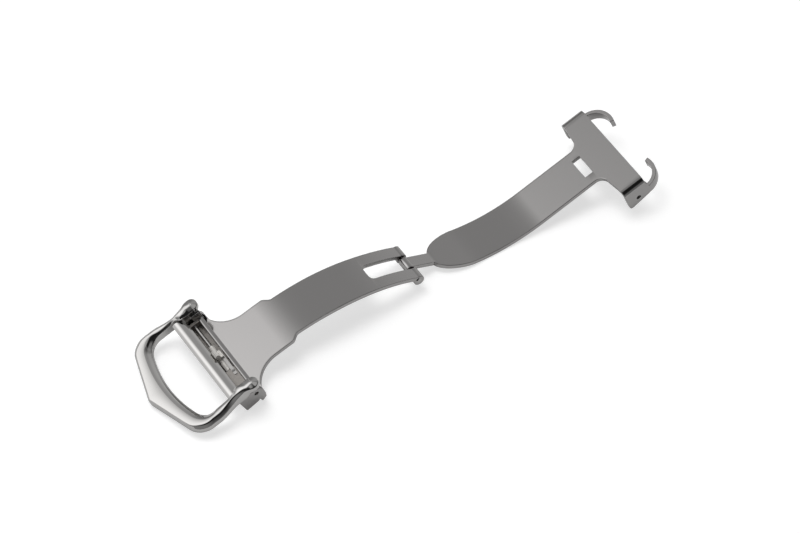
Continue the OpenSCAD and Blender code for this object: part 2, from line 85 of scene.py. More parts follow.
def tilted(q, at, angle):
    """Local x runs up the slope, local z stands square to it, and the local origin lies at (x, z) = at."""
    c, s = math.cos(angle), math.sin(angle)
    x = at[0] + q[..., 0] * c - q[..., 2] * s
    z = at[1] + q[..., 0] * s + q[..., 2] * c
    return in_world(np.stack([x, q[..., 1], z], -1))


def in_frame(q):
    """Points in the D's plane: x counts from the crossbar's left edge and z from the top face."""
    return tilted(q, (0.0, BAR_Z), TILT)


RISE_X = BELLY_X + BELLY_R * math.sin(RISE)
RISE_Z = REAR_T + BELLY_R * (1 - math.cos(RISE))
TEE_Z = RISE_Z + (TEE_X - RISE_X) * math.tan(RISE)


def in_tee(q):
    """Points in the T end's plane: x counts from its far edge and z from the top face."""
    return tilted(q, (TEE_X, TEE_Z), RISE)


# Shape tools

def ease(u):
    """A smooth step from 0 to 1 while u goes from 0 to 1."""
    u = np.clip(u, 0, 1)
    return u * u * (3 - 2 * u)


def arc(cx, cy, r, a0, a1, n):
    """Points on a circle: centre plus r times (cos, sin) of evenly spaced angles in degrees."""
    a = np.radians(np.linspace(a0, a1, n))
    return np.stack([cx + r * np.cos(a), cy + r * np.sin(a)], -1)


def rounded(corners, reach, n=6):
    """Each corner becomes a quadratic curve that starts and ends reach before and after it."""
    v = np.array(corners, float)
    r = np.broadcast_to(np.asarray(reach, float), (len(v),))[:, None]
    back, ahead = np.roll(v, 1, 0) - v, np.roll(v, -1, 0) - v
    p = v + back / np.linalg.norm(back, axis=1, keepdims=True) * r
    q = v + ahead / np.linalg.norm(ahead, axis=1, keepdims=True) * r
    t = np.linspace(0, 1, n)[None, :, None]
    out = p[:, None] * (1 - t) ** 2 + 2 * v[:, None] * t * (1 - t) + q[:, None] * t ** 2
    return out.reshape(-1, 2)


def inset(outline, d):
    """Moves each point of a counter-clockwise outline inwards by d, square to its neighbours' line."""
    run = np.roll(outline, -1, 0) - np.roll(outline, 1, 0)
    length = np.maximum(np.linalg.norm(run, axis=1, keepdims=True), 1e-9)
    return outline + d * np.stack([-run[:, 1], run[:, 0]], -1) / length


def slab(outline, low, high, edge, n=4):
    """A plate: its outline at heights from low to high. A quarter round of radius edge draws it in at
    both faces."""
    area = np.sum(outline[:, 0] * np.roll(outline[:, 1], -1) - np.roll(outline[:, 0], -1) * outline[:, 1])
    if area < 0:
        outline = outline[::-1]
    a = np.linspace(0, math.pi / 2, n)
    draw = np.concatenate([edge * (1 - np.sin(a)), edge * (1 - np.cos(a))])
    h = np.concatenate([low + edge * (1 - np.cos(a)), high - edge * (1 - np.sin(a))])
    rings = [np.column_stack([inset(outline, d), np.full(len(outline), z)]) for d, z in zip(draw, h)]
    return np.array(rings)


def pierced(outline, hole, r, low, high, edge):
    """A slab with a round hole of radius r about the point hole. The outline is cut into even steps,
    and the hole's rim has a point on the line to each of its points, so four-sided faces join them
    above and below. The first ring comes again at the end."""
    steps = 160
    loop = np.concatenate([outline, outline[:1]])
    run = np.concatenate([[0], np.cumsum(np.linalg.norm(np.diff(loop, axis=0), axis=1))])
    at = np.linspace(0, run[-1], steps + 1)[:-1]
    outline = np.stack([np.interp(at, run, loop[:, 0]), np.interp(at, run, loop[:, 1])], -1)
    rings = slab(outline, low, high, edge)
    way = rings[0][:, :2] - hole
    rim = hole + r * way / np.linalg.norm(way, axis=1, keepdims=True)
    walls = [np.column_stack([rim, np.full(len(rim), z)]) for z in (high, low)]
    return np.array([*rings, *walls, rings[0]])


def along_y(rings):
    """A slab drawn in x and z with its height along y."""
    return rings[..., [0, 2, 1]]


def quarter(cx, cy, r, a0, n=5):
    """Quarter circles for many stations at once: rows of points round centres (cx, cy) from angle a0 to
    a0 + 90."""
    a = np.radians(a0 + np.linspace(0, 90, n))[None]
    cx, cy, r = (np.asarray(v, float).reshape(-1, 1) for v in (cx, cy, r))
    return np.stack([cx + r * np.cos(a), cy + r * np.sin(a)], -1)


def strip(path, y_in, y_out, thick, edge):
    """Half of a bent plate: at each station of path (x, z, slope) a rounded box from y_in to y_out,
    which hangs below the path by thick."""
    n = len(path)
    cut = np.where(y_in > 1e-6, edge, 0.0)
    ones = np.ones(n)
    row = np.maximum(y_in + cut, y_out - edge - 0.25)
    loop = np.concatenate([
        np.stack([row, -thick * ones], -1)[:, None],
        quarter(y_out - edge, (edge - thick) * ones, edge * ones, -90),
        quarter(y_out - edge, -edge * ones, edge * ones, 0),
        np.stack([row, 0 * ones], -1)[:, None],
        quarter(y_in + cut, -cut, cut, 90),
        quarter(y_in + cut, cut - thick, cut, 180),
    ], 1)
    s, c = np.sin(path[:, 2])[:, None], np.cos(path[:, 2])[:, None]
    h = loop[..., 1]
    return np.stack([path[:, :1] - h * s, loop[..., 0], path[:, 1:2] + h * c], -1)


def mirrored(rings):
    """The same surface on the clasp's other side."""
    return rings * np.array([1, -1, 1])


def shell(rings):
    """Faces of a lofted surface: quads between neighbouring rings, which are closed, and a cap on each
    end, unless the last ring is the first one again."""
    n, m = rings.shape[:2]
    i, j = np.meshgrid(np.arange(n - 1), np.arange(m), indexing="ij")
    k = (j + 1) % m
    quads = np.stack([i * m + j, i * m + k, (i + 1) * m + k, (i + 1) * m + j], -1).reshape(-1, 4)
    ends = [list(range(m))[::-1], list(range((n - 1) * m, n * m))]
    return rings.reshape(-1, 3), quads.tolist() + ([] if np.allclose(rings[0], rings[-1]) else ends)


def piece(name, shells, body, node, material, seam=False, sharp=32):
    """One object made of closed shells, in metres in the row frame; seam joins two halves at y = 0."""
    verts, faces, start = [], [], 0
    for v, f in (shell(s) for s in shells):
        verts.append(v)
        faces += [[start + c for c in face] for face in f]
        start += len(v)
    mesh = bpy.data.meshes.new(name)
    mesh.from_pydata(np.concatenate(verts).tolist(), [], faces)
    bm = bmesh.new()
    bm.from_mesh(mesh)
    if seam:
        inner = [f for f in bm.faces if all(abs(v.co.y) < 1e-8 for v in f.verts)]
        bmesh.ops.delete(bm, geom=inner, context="FACES_ONLY")
    bmesh.ops.remove_doubles(bm, verts=bm.verts, dist=SAME)
    bmesh.ops.dissolve_degenerate(bm, edges=bm.edges, dist=SAME)
    bmesh.ops.recalc_face_normals(bm, faces=bm.faces)
    bm.to_mesh(mesh)
    bm.free()
    mesh.shade_smooth()
    mesh.set_sharp_from_angle(angle=math.radians(sharp))
    mesh.materials.append(material)
    ob = bpy.data.objects.new(name, mesh)
    bpy.context.scene.collection.objects.link(ob)
    even = ob.modifiers.new("even", "WEIGHTED_NORMAL")
    even.keep_sharp = True
    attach(ob, body)
    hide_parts(node)


# Node helpers

def maths(nt, operation, *values, clamp=False):
    """A math node's output. Each value is a float or another node's output."""
    n = nt.nodes.new("ShaderNodeMath")
    n.operation = operation
    n.use_clamp = clamp
    for socket, v in zip(n.inputs, values):
        if isinstance(v, float):
            socket.default_value = v
        else:
            nt.links.new(v, socket)
    return n.outputs["Value"]


def ramp(nt, source, at_0, at_1, low, high):
    """A smooth step from low to high between two values of the source."""
    step = nt.nodes.new("ShaderNodeMapRange")
    step.interpolation_type = "SMOOTHSTEP"
    for label, v in (("From Min", at_0), ("From Max", at_1), ("To Min", low), ("To Max", high)):
        step.inputs[label].default_value = v
    nt.links.new(source, step.inputs["Value"])
    return step.outputs["Result"]


# Finishes

def steel(name, colour, rough, grain, depth, grain_scale, metal=1.0):
    """Bare steel, duller below a metal share of 1. Stretched noise draws the polishing lines, slower
    noise varies the gloss, and along the edges, where a rounded normal parts from the true one, broken
    by noise, the metal is rubbed brighter and a little rougher."""
    m = bpy.data.materials.new(name)
    m.use_nodes = True
    nt = m.node_tree
    link = nt.links.new

    def node(kind, **values):
        n = nt.nodes.new("ShaderNode" + kind)
        for label, v in values.items():
            n.inputs[label].default_value = v
        return n

    def clamped(operation, *values):
        return maths(nt, operation, *values, clamp=True)

    shader = nt.nodes["Principled BSDF"]
    shader.inputs["Metallic"].default_value = metal
    place = node("TexCoord").outputs["Object"]
    stretch = node("Mapping", Scale=grain_scale)
    lines = node("TexNoise", Scale=1.0, Detail=3.0)
    cloud = node("TexNoise", Scale=160.0, Detail=2.0)
    speck = node("TexNoise", Scale=2600.0, Detail=2.0)
    link(place, stretch.inputs["Vector"])
    link(stretch.outputs["Vector"], lines.inputs["Vector"])
    link(place, cloud.inputs["Vector"])
    link(place, speck.inputs["Vector"])
    soft = node("Bevel", Radius=1.1e-4)
    soft.samples = 4
    part = nt.nodes.new("ShaderNodeVectorMath")
    part.operation = "DOT_PRODUCT"
    link(soft.outputs["Normal"], part.inputs[0])
    link(node("NewGeometry").outputs["Normal"], part.inputs[1])
    edge = clamped("MULTIPLY", maths(nt, "SUBTRACT", 1.0, part.outputs["Value"]), 3.0)
    worn = clamped("MULTIPLY", edge, clamped("MULTIPLY", speck.outputs["Fac"], 1.2))
    tone = nt.nodes.new("ShaderNodeMix")
    tone.data_type = "RGBA"
    link(worn, tone.inputs["Factor"])
    tone.inputs["A"].default_value = (*colour, 1)
    tone.inputs["B"].default_value = (*(min(0.9, c * 1.25) for c in colour), 1)
    link(tone.outputs["Result"], shader.inputs["Base Color"])
    gloss = node("MapRange", **{"To Min": rough * 0.8, "To Max": rough * 1.2})
    link(cloud.outputs["Fac"], gloss.inputs["Value"])
    finish = clamped("MULTIPLY_ADD", lines.outputs["Fac"], grain, gloss.outputs["Result"])
    link(clamped("MULTIPLY_ADD", worn, 0.12, finish), shader.inputs["Roughness"])
    bump = node("Bump", Strength=1.0, Distance=depth)
    link(lines.outputs["Fac"], bump.inputs["Height"])
    link(bump.outputs["Normal"], shader.inputs["Normal"])
    return m


mirror_steel = steel("mirror_steel", (0.61, 0.60, 0.59), rough=0.05, grain=0.02, depth=1e-7,
                     grain_scale=(900, 900, 900))
satin_steel = steel("satin_steel", (0.44, 0.43, 0.425), rough=0.09, grain=0.04, depth=2.5e-7,
                    grain_scale=(300, 9000, 9000))
# Darker colour here is painted shade inside the channel's recess; the rougher, half-metal finish is the
# steel's own.
shaded_trough_steel = steel("shaded_trough_steel", (0.34, 0.32, 0.30), rough=0.36, grain=0.1, depth=2e-6,
                     grain_scale=(2600, 2600, 2600), metal=0.6)
ground_steel = steel("ground_steel", (0.52, 0.51, 0.50), rough=0.18, grain=0.08, depth=6e-7,
                     grain_scale=(9000, 500, 9000))
lever_steel = steel("lever_steel", (0.66, 0.64, 0.61), rough=0.4, grain=0.08, depth=1e-6,
                    grain_scale=(4000, 4000, 4000), metal=0.25)
spring_steel = steel("spring_steel", (0.45, 0.44, 0.43), rough=0.26, grain=0.05, depth=6e-7,
                     grain_scale=(4000, 600, 4000), metal=0.75)

# Buckle frame

RING_W, RING_R, RING_BACK, TIP_R = 10.85, 3.5, 4.6, 1.0
WIN_W, WIN_REACH, WIN_FRONT, WIN_R = 9.0, 6.5, 22.8, 2.8
ARM_IN, ARM_OUT, ARM_LEN, ARM_RISE, ARM_UNDER = 8.35, 10.2, 4.5, 0.7, 1.3
END_T = FRAME_T + ARM_RISE - ARM_UNDER
NARROW_FROM, NARROW_L = -3.2, 4.4
RISE_FROM, RISE_L = -2, 5
UNDER_FROM, UNDER_L = 2.2, 1.6
# The crossbar's round top is centred BAR_LOW below the D's top.
BAR_LEFT, BAR_RIGHT, BAR_HALF = 0.02, 2.29, 9.3
BAR_MID, BAR_LOW, BAR_R = 0.9, 1.73, 1.7
LOBE_Y, LOBE_R = 9.55, 1.15
END_BEVEL = (0.895, 0.45)
LUG_R, LUG_TOP = 0.85, -0.47


def side_y(a):
    """Half width of the D behind its corners: it eases in from the full width to the arms' outer
    face."""
    return RING_W + (ARM_OUT - RING_W) * ease((a - NARROW_FROM) / NARROW_L)


def lift(a):
    """The arms' tops rise towards their round ends."""
    return ARM_RISE * ease((a - RISE_FROM) / RISE_L)


def thick(a):
    """Thickness of the D and its arms, whose undersides rise close to the round ends."""
    return FRAME_T + lift(a) - ARM_UNDER * ease((a - UNDER_FROM) / UNDER_L)


def ring_half():
    """Matching outer and inner edge points of the D, from the end of the far arm to the tip. The arm
    swells towards its round end, by 0.49 outwards and 0.05 inwards."""
    tip_c = -TIP_REACH + TIP_R
    corner_y = RING_W - RING_R
    span = np.array([tip_c + RING_BACK, -corner_y])
    vee = math.degrees(math.atan2(span[1], span[0])) + 360 - math.degrees(
        math.acos((RING_R - TIP_R) / np.linalg.norm(span)))
    win_c = -WIN_REACH + WIN_FRONT
    win_y = WIN_W - WIN_R
    win_a = win_c - math.sqrt((WIN_FRONT - WIN_R) ** 2 - win_y ** 2)
    win_ang = math.degrees(math.atan2(win_y, win_a - win_c))
    a = np.linspace(ARM_LEN, 0, 40)
    swell = ease((a - 2.4) / 2.1)
    out = [np.stack([a, side_y(a) + 0.49 * swell], -1)]
    inn = [np.stack([a, ARM_IN + (WIN_W - ARM_IN) * ease(1.9 - a) + 0.05 * swell], -1)]
    u = np.linspace(0, 1, 26)[1:-1]
    out.append(np.stack([-RING_BACK * u, side_y(-RING_BACK * u)], -1))
    inn.append(np.stack([win_a * u, np.full_like(u, WIN_W)], -1))
    out.append(arc(-RING_BACK, corner_y, RING_R, 90, vee, 50))
    inn.append(arc(win_a, win_y, WIN_R, 90, win_ang, 50))
    start = out[-1][-1]
    end = np.array([tip_c + TIP_R * math.cos(math.radians(vee)), TIP_R * math.sin(math.radians(vee))])
    t = np.linspace(0, 1, 60)[1:, None]
    out.append(start + (end - start) * t)
    inn.append(arc(win_c, 0, WIN_FRONT, win_ang, 179, 60)[1:])
    out.append(arc(tip_c, 0, TIP_R, vee, 180, 10)[1:])
    inn.append(arc(win_c, 0, WIN_FRONT, 179, 180, 10)[1:])
    return np.concatenate(out), np.concatenate(inn)


def bevel(wide, deep):
    """A slope from the wall, deep below the top, up to the top, wide further in. Each end is blended by
    a quadratic curve whose control point is the slope's corner. The lower one starts on the wall, drop
    below the corner. Returns pairs of distance from the wall and height."""
    foot_share, head_share, drop = 0.24, 0.28, 0.12
    t = np.linspace(0, 1, 9)
    foot = [(foot_share * wide * k ** 2, foot_share * deep * k ** 2 - deep - drop * (1 - k) ** 2)
            for k in t]
    head = [(wide * (1 + head_share * (2 * k - 1)), -head_share * deep * (1 - k) ** 2) for k in t]
    return foot + head


def squareness(edge, across):
    """How square the sections stand to an edge line: the sine of the angle between them."""
    run = np.gradient(edge, axis=0)
    turn = np.abs(run[:, 0] * across[:, 1] - run[:, 1] * across[:, 0])
    sine = turn / np.maximum(np.linalg.norm(run, axis=1) * np.linalg.norm(across, axis=1), 1e-9)
    return np.maximum(sine, 0.4)[:, None]


def ring():
    """The D: at each station a section from outer edge to inner edge. Its outer side is a bevel with
    rounded ends, 0.6 wide and high beside the window and 0.3 by 0.36 at the tip's legs. The top is
    level past it, then falls towards the inner edge by a power of the way, over 1.25 at the legs and
    0.55 beside the window. Beside the crossbar it falls no lower than the bar. Towards the arms' ends
    both sides turn into the round ends' bevel. All widths count square to the edge that they start
    from, and all heights are scaled to the thickness there."""
    out, inn = ring_half()
    out = np.concatenate([out, out[-2::-1] * [1, -1]])
    inn = np.concatenate([inn, inn[-2::-1] * [1, -1]])
    across = inn - out
    w = np.linalg.norm(across, axis=1)[:, None]
    near, far = 1 / squareness(out, across), 1 / squareness(inn, across)
    along = out[:, :1]
    full = ease((along + 8.4) / 1.8)
    arm = ease((along - 0.2) / 3)
    round_end = ease((along - 3.3) / 1.2)
    d, h = [], []

    def stages(legs, sides, arms, ends):
        return legs + (sides - legs) * full + (arms - sides) * arm + (ends - arms) * round_end

    def add(dist, height):
        d.append(np.broadcast_to(dist, w.shape) + 0 * w)
        h.append(np.broadcast_to(height, w.shape) + 0 * w)

    top = stages(0.3, 0.6, 0.48, END_BEVEL[0])
    deep = stages(0.36, 0.6, 0.26, END_BEVEL[1])
    low = stages(0.3, 0.45, 0.25, 0.25)
    for t in np.linspace(0, math.pi / 2, 7):
        add(low * (1 - math.sin(t)) * near, -FRAME_T + 1.35 * low * (1 - math.cos(t)))
    for dist, height in bevel(top, deep):
        add(dist * near, height)
    leg_slope, side_slope, lip_w = 1.25, 0.55, 0.12
    side = ease((along + 7) / 4)
    slope = leg_slope + (side_slope - leg_slope) * side
    power = 1.7 - 0.5 * side
    edge = lip_w * far
    flat = np.maximum(1.3 * top * near, w - slope * far)
    beside = (along > BAR_LEFT) & (along < BAR_RIGHT)
    bar = BAR_LOW - np.sqrt(np.maximum(BAR_R ** 2 - (along - BAR_MID) ** 2, 0))
    end = 0.7 * (slope / leg_slope) ** 2 + 0.02
    end = np.where(beside, np.minimum(end, bar), end)
    lip = np.where(beside, 0.02, lip_w)
    fall = [(flat + (w - edge - flat) * t, -end * t ** power) for t in np.linspace(0, 1, 14)[1:]]
    fall += [(w - edge + edge * math.sin(t), -end - lip * (1 - math.cos(t)))
             for t in np.linspace(0, math.pi / 2, 6)[1:]]
    turn = ease((along - 2.2) / 1.3)
    for (dist, height), (back, drop) in zip(fall, bevel(*END_BEVEL)[::-1]):
        add(dist + (w - back * far - dist) * turn, height + (drop - height) * turn)
    foot = 0.15
    for t in np.linspace(0, math.pi / 2, 5):
        add(w - foot * (1 - math.cos(t)), -FRAME_T + foot * (1 - math.sin(t)))
    d, h = np.concatenate(d, 1), np.concatenate(h, 1)
    q = out[:, None] + across[:, None] * (d / w)[..., None]
    h = lift(q[..., 0]) + h * thick(q[..., 0]) / FRAME_T
    return in_frame(np.concatenate([q, h[..., None]], -1))


def crossbar():
    """A bar along Y: flat sides and bottom, and a top that is part of a circle."""
    top = arc(BAR_MID, -BAR_LOW, BAR_R, 35, 121, 40)
    outline = np.concatenate([[[BAR_RIGHT, -FRAME_T]], top, [[BAR_LEFT, -FRAME_T]]])
    return in_frame(along_y(slab(outline, -BAR_HALF, BAR_HALF, 0.02, 2)))


def lobe(sign):
    """The arm's round end: the section of its outer side turned about the end's middle. The lower
    edge's round is low_w wide and low_h high."""
    low_w, low_h = 0.25, 0.34
    t = np.linspace(0, math.pi / 2, 7)[:-1]
    side = np.array(bevel(*END_BEVEL))
    rad = np.concatenate([[1e-3], LOBE_R - low_w * (1 - np.sin(t)), LOBE_R - side[:, 0], [1e-3]])
    h = np.concatenate([[-FRAME_T], low_h * (1 - np.cos(t)) - FRAME_T, side[:, 1], [0.003]])
    h = h * END_T / FRAME_T + ARM_RISE
    a = np.linspace(0, 2 * math.pi, 49)[:-1]
    x = ARM_LEN + rad[:, None] * np.cos(a)
    y = LOBE_Y + rad[:, None] * np.sin(a)
    return in_frame(np.stack([x, sign * y, np.broadcast_to(h[:, None], x.shape)], -1))


def lug(sign):
    """A plate below the arm: straight sides and a round end about the frame pin."""
    a, d = PIVOT
    top = [[a + LUG_R, LUG_TOP], [a - LUG_R, LUG_TOP]]
    outline = np.concatenate([arc(a, d, LUG_R, -180, 0, 24), top])
    q = along_y(slab(outline, LUG_IN, LUG_OUT, 0.06))
    return in_frame(q * [1, sign, 1])


piece("polished_frame", [ring(), crossbar(), lobe(1), lobe(-1), lug(1), lug(-1)],
      "frame", "buckle_frame", mirror_steel, sharp=50)

# Front blade

ARCH_R, FRONT_T = 38.0, 0.8
ROOT = math.radians(18.4)
ROOT_DROP, FORK_RISE = 1.11, 0.8
ROOT_W = 9.6
FLARE_X, FLARE_Y, FLARE_R = 11.35, 10.15, 5.1
SLOT_X, SLOT_R, SLOT_W = 32.2, 0.9, 1.58
FORK_W, KNUCKLE_R, PIN_R = 3.9, 0.95, 0.4
EAR_IN, EAR_OUT = 8.85, 9.65
PLATE_EDGE = 0.1
HINGE = np.array([HINGE_X, HINGE_Z])
FRAME_PIN = np.array([PIVOT[0] * math.cos(TILT) - PIVOT[1] * math.sin(TILT),
                      BAR_Z + PIVOT[0] * math.sin(TILT) + PIVOT[1] * math.cos(TILT)])


def arch():
    """Where the arch starts, and its centre: it touches the flat root's line, which runs ROOT_DROP
    under the frame pin, and passes FORK_RISE above the hinge pin."""
    n = np.array([-math.sin(ROOT), math.cos(ROOT)])
    u = np.array([math.cos(ROOT), math.sin(ROOT)])
    at = FRAME_PIN - ROOT_DROP * n
    q = at - ARCH_R * n - HINGE
    run = -q @ u - math.sqrt((q @ u) ** 2 - q @ q + (ARCH_R - FORK_RISE) ** 2)
    touch = at + run * u
    return touch, touch - ARCH_R * n


ARCH_FROM, ARCH_C = arch()


def front_path(x):
    """Top of the front blade at x: the root's straight line up to the arch, then the circle."""
    flat = x < ARCH_FROM[0]
    line = ARCH_FROM[1] + (x - ARCH_FROM[0]) * math.tan(ROOT)
    dx = x - ARCH_C[0]
    circle = ARCH_C[1] + np.sqrt(ARCH_R ** 2 - dx ** 2)
    slope = np.where(flat, ROOT, -np.arcsin(dx / ARCH_R))
    return np.stack([x, np.where(flat, line, circle), slope], -1)


def front_w(x):
    """Half width past the flare: 5.05, a soft step to 4.14 at x = 15.5, then a slow taper to 3.9."""
    return 5.05 - 0.91 * ease((x - 14.7) / 1.6) - 0.24 * ease((x - 22) / 16)


def front_blade():
    """Its top, ears and fork ends. The outline is a wide root, a flare that is part of a circle, then
    front_w. The slot starts with rounded corners and ends open between the fork's fingers."""
    root = np.array([3.4, 4.5, 5.5, 6.6])
    flare = arc(FLARE_X, FLARE_Y, FLARE_R, 204, 270, 30)
    bend = SLOT_X + SLOT_R * (1 - np.cos(np.linspace(0, math.pi / 2, 9)[1:]))
    x = np.concatenate([root, flare[:, 0], np.linspace(FLARE_X + 0.25, SLOT_X - 0.02, 90), [SLOT_X], bend,
                        np.linspace(SLOT_X + 1.2, HINGE_X, 24)])
    x = np.maximum.accumulate(x)
    w = front_w(x)
    w[:len(root)] = ROOT_W
    w[len(root):len(root) + len(flare)] = flare[:, 1]
    left = 1 - np.clip((x - SLOT_X) / SLOT_R, 0, 1)
    slot = np.where(x >= SLOT_X, SLOT_W - SLOT_R + SLOT_R * np.sqrt(np.maximum(0, 1 - left ** 2)), 0.0)
    top = in_world(strip(front_path(x), slot, w, FRONT_T, PLATE_EDGE))
    ear = rounded([(3.15, 0.5), (5.4, 1.6), (5.62, 1.95), (6.1, 1.1), (6.9, 1.9), (6.6, 3.05), (6.35, 3.9),
                   (5.55, 4.78), (4.6, 4.86), (1.55, 3.77)],
                  [0.3, 0.1, 0.05, 0.12, 0.25, 0.2, 0.2, 0.25, 0.3, 0.12])
    ears = in_world(along_y(pierced(ear, FRAME_PIN, PIN_R, EAR_IN, EAR_OUT, 0.07)))
    eye = arc(*HINGE, KNUCKLE_R, 0, 352.5, 48)
    eyes = in_world(along_y(pierced(eye, HINGE, PIN_R, SLOT_W, FORK_W, PLATE_EDGE)))
    return [top, mirrored(top), ears, mirrored(ears), eyes, mirrored(eyes)]


piece("front_arch", front_blade(), "front", "front_blade", satin_steel, seam=True)

# Rear blade

FALL_X = BELLY_X - BELLY_R * math.sin(FALL)
FALL_Z = REAR_T + BELLY_R * (1 - math.cos(FALL))
NECK_END, NECK_W, NECK_R = 45.1, 1.17, 0.85
SHOULDER_L = 6.1
WAIST_X, WAIST_W = 65, 3.77
NECK_Z = FALL_Z + (FALL_X - NECK_END) * math.tan(FALL)
NECK = math.atan2(HINGE_Z + NECK_R - NECK_Z, NECK_END - HINGE_X)
TEE_L, TEE_W, EAR_T = 4.3, 9.6, 0.75
BEND_R, FILLET_R = 1.3, 1.7
HOOK_Y, HOOK_R, HOOK_T = 6.1, 3.5, 0.7
HOOK_LOW, HOOK_HIGH = -4.2, -2.3


def rear_path(x):
    """Top of the rear blade: two falling lines with a soft knee between them, the belly's circle, then
    the rising line."""
    neck = NECK_Z + (NECK_END - x) * math.tan(NECK)
    fall = FALL_Z + (FALL_X - x) * math.tan(FALL)
    belly = REAR_T + BELLY_R - np.sqrt(BELLY_R ** 2 - np.clip(x - BELLY_X, -20, 20) ** 2)
    rise = RISE_Z + (x - RISE_X) * math.tan(RISE)
    knee = ease(x - NECK_END + 0.5)
    line = neck + (fall - neck) * knee
    z = np.where(x < FALL_X, line, np.where(x < RISE_X, belly, rise))
    bend = -NECK + (NECK - FALL) * knee
    turn = np.arcsin(np.clip((x - BELLY_X) / BELLY_R, -1, 1))
    slope = np.where(x < FALL_X, bend, np.where(x < RISE_X, turn, RISE))
    return np.stack([x, z, slope], -1)


def rear_w(x):
    """Half width: the neck, shoulders that swell by 2.74 as a superellipse of power 1.75, and from
    there a slight narrowing by 0.14 to the waist."""
    u = np.clip((x - NECK_END) / SHOULDER_L, 0, 1)
    swell = NECK_W + 2.74 * (1 - (1 - u) ** 1.75) ** (1 / 1.75)
    to_waist = np.maximum(0, WAIST_X - x) / (WAIST_X - NECK_END - SHOULDER_L)
    return np.where(u < 1, swell, WAIST_W + 0.14 * to_waist ** 2)


def rear_blade():
    """The blade and its flat T end as one strip, the eye at the neck, the bends, ears and hooks. In the
    T end p counts back from its far edge along the slope, and fillets lead from the blade to the T."""
    hole_from, hole_to, hole_w = -7.13, -5.5, 2.0
    fillet_p, flat_w = -6.35, 8.3
    fillet = np.linspace(0, math.pi / 2, 16)[1:]
    p = np.concatenate([[hole_from - 0.02, hole_from, -6.8, fillet_p], fillet_p + FILLET_R * np.sin(fillet),
                        [-TEE_L - 0.04, -TEE_L], np.linspace(0.1 - TEE_L, 0, 8)])
    y = np.concatenate([[WAIST_W] * 4, WAIST_W + FILLET_R * (1 - np.cos(fillet)), [7.6], [flat_w] * 9])
    more = np.array([hole_to, hole_to + 0.02])
    order = np.argsort(np.concatenate([p, more]), kind="stable")
    p, y = np.concatenate([p, more])[order], np.concatenate([y, np.interp(more, p, y)])[order]
    x = np.concatenate([np.linspace(HINGE_X, NECK_END - 0.5, 12),
                        np.linspace(NECK_END - 0.45, NECK_END + 0.5, 14),
                        NECK_END + SHOULDER_L * np.linspace(0.09, 1, 40),
                        np.linspace(NECK_END + SHOULDER_L + 0.1, TEE_X - 7.3 * math.cos(RISE), 110)])
    w = np.concatenate([rear_w(x), y])
    in_hole = (p > hole_from - 0.01) & (p < hole_to + 0.01)
    window = np.concatenate([0 * x, hole_w * in_hole])
    x = np.concatenate([x, TEE_X + p * math.cos(RISE)])
    half = in_world(strip(rear_path(x), window, w, REAR_T, PLATE_EDGE))
    eye = in_world(along_y(slab(arc(*HINGE, NECK_R, 0, 352.5, 48), -NECK_W, NECK_W, PLATE_EDGE)))
    hook_outline = np.concatenate([arc(0, HOOK_Y, HOOK_R, 96, -20, 50),
                                   arc(0, HOOK_Y, HOOK_R - HOOK_T, -20, 96, 50)])
    hook = in_tee(slab(hook_outline, HOOK_LOW, HOOK_HIGH, PLATE_EDGE))
    bend, ear = (in_tee(q) for q in tee_ear())
    return [half, mirrored(half), eye, bend, mirrored(bend), ear, mirrored(ear), hook, mirrored(hook)]


def tee_ear():
    """One ear. The bend is a quarter circle carried along the slope, its ends drawn in by a quarter
    round. The wall below it is a plate, 5.0 deep at its inner end and 4.2 at the hook, with a hole for
    the spring bar's tip."""
    e = PLATE_EDGE
    ear_in = TEE_W - EAR_T
    a = np.linspace(0, math.pi / 2, 6)
    p = np.concatenate([-TEE_L + e * (1 - np.cos(a)), -e * (1 - np.cos(a[::-1]))])
    draw = np.concatenate([e * (1 - np.sin(a)), e * (1 - np.sin(a[::-1]))])
    ones = np.ones_like(p)
    k = BEND_R - draw
    low = -BEND_R - 0.003
    corners = [(8.2 * ones, -0.003 - draw), (8.2 * ones, draw - 0.79), (8.6 * ones, draw - 0.79),
               (ear_in + draw, draw - 1.05), (ear_in + draw, low * ones), (TEE_W - draw, low * ones)]
    loop = np.concatenate([quarter(TEE_W - draw - k, -0.003 - draw - k, k, 0, 15),
                           np.stack([np.stack(c, -1) for c in corners], 1)], 1)
    bend = np.concatenate([np.broadcast_to(p[:, None, None], loop.shape[:2] + (1,)), loop], -1)
    wall = rounded([(-TEE_L, -1.22), (-TEE_L, -5.0), (0.3, -4.2), (0.3, -1.7), (0.05, -1.22)],
                   [0.02, 0.75, 0.6, 0.2, 0.02], 14)
    return bend, along_y(pierced(wall, np.array([-2.13, -3.2]), 0.45, ear_in, TEE_W, 0.08))


piece("rear_arch", rear_blade(), "rear", "rear_blade", satin_steel, seam=True)

# Channel behind the crossbar

WALL_LEFT, WALL_RIGHT = 2.02, 4.9
STRIP_LEFT, STRIP_HALF = 4.02, 7.65
CHANNEL_LOW, CHANNEL_TOP, CHANNEL_T = -3.7, -1.92, 0.3


def channel():
    """The trough: a folded plate behind the crossbar, an end plate at each side and the block under the
    spring."""
    left, low, top, t = WALL_LEFT, CHANNEL_LOW, CHANNEL_TOP, CHANNEL_T
    u = [(left, low), (4.2, low), (4.2, low + t), (left + t, low + t), (left + t, top), (left, top)]
    floor = slab(rounded(u, 0.05), -STRIP_HALF, STRIP_HALF, 0.05)
    end_plate = rounded([(left, low), (WALL_RIGHT, low), (WALL_RIGHT, top), (left, top)], 0.1)
    end = slab(end_plate, 7.5, 8.03, 0.05)
    block_low, block_top = low + 0.1, -1.75
    block = rounded([(left + 0.2, block_low), (4.1, block_low), (4.1, block_top), (left + 0.2, block_top)],
                    0.06)
    rings = (floor, end, end * np.array([1, 1, -1]), slab(block, -7.6, -3.6, 0.06))
    return [in_frame(along_y(r)) for r in rings]


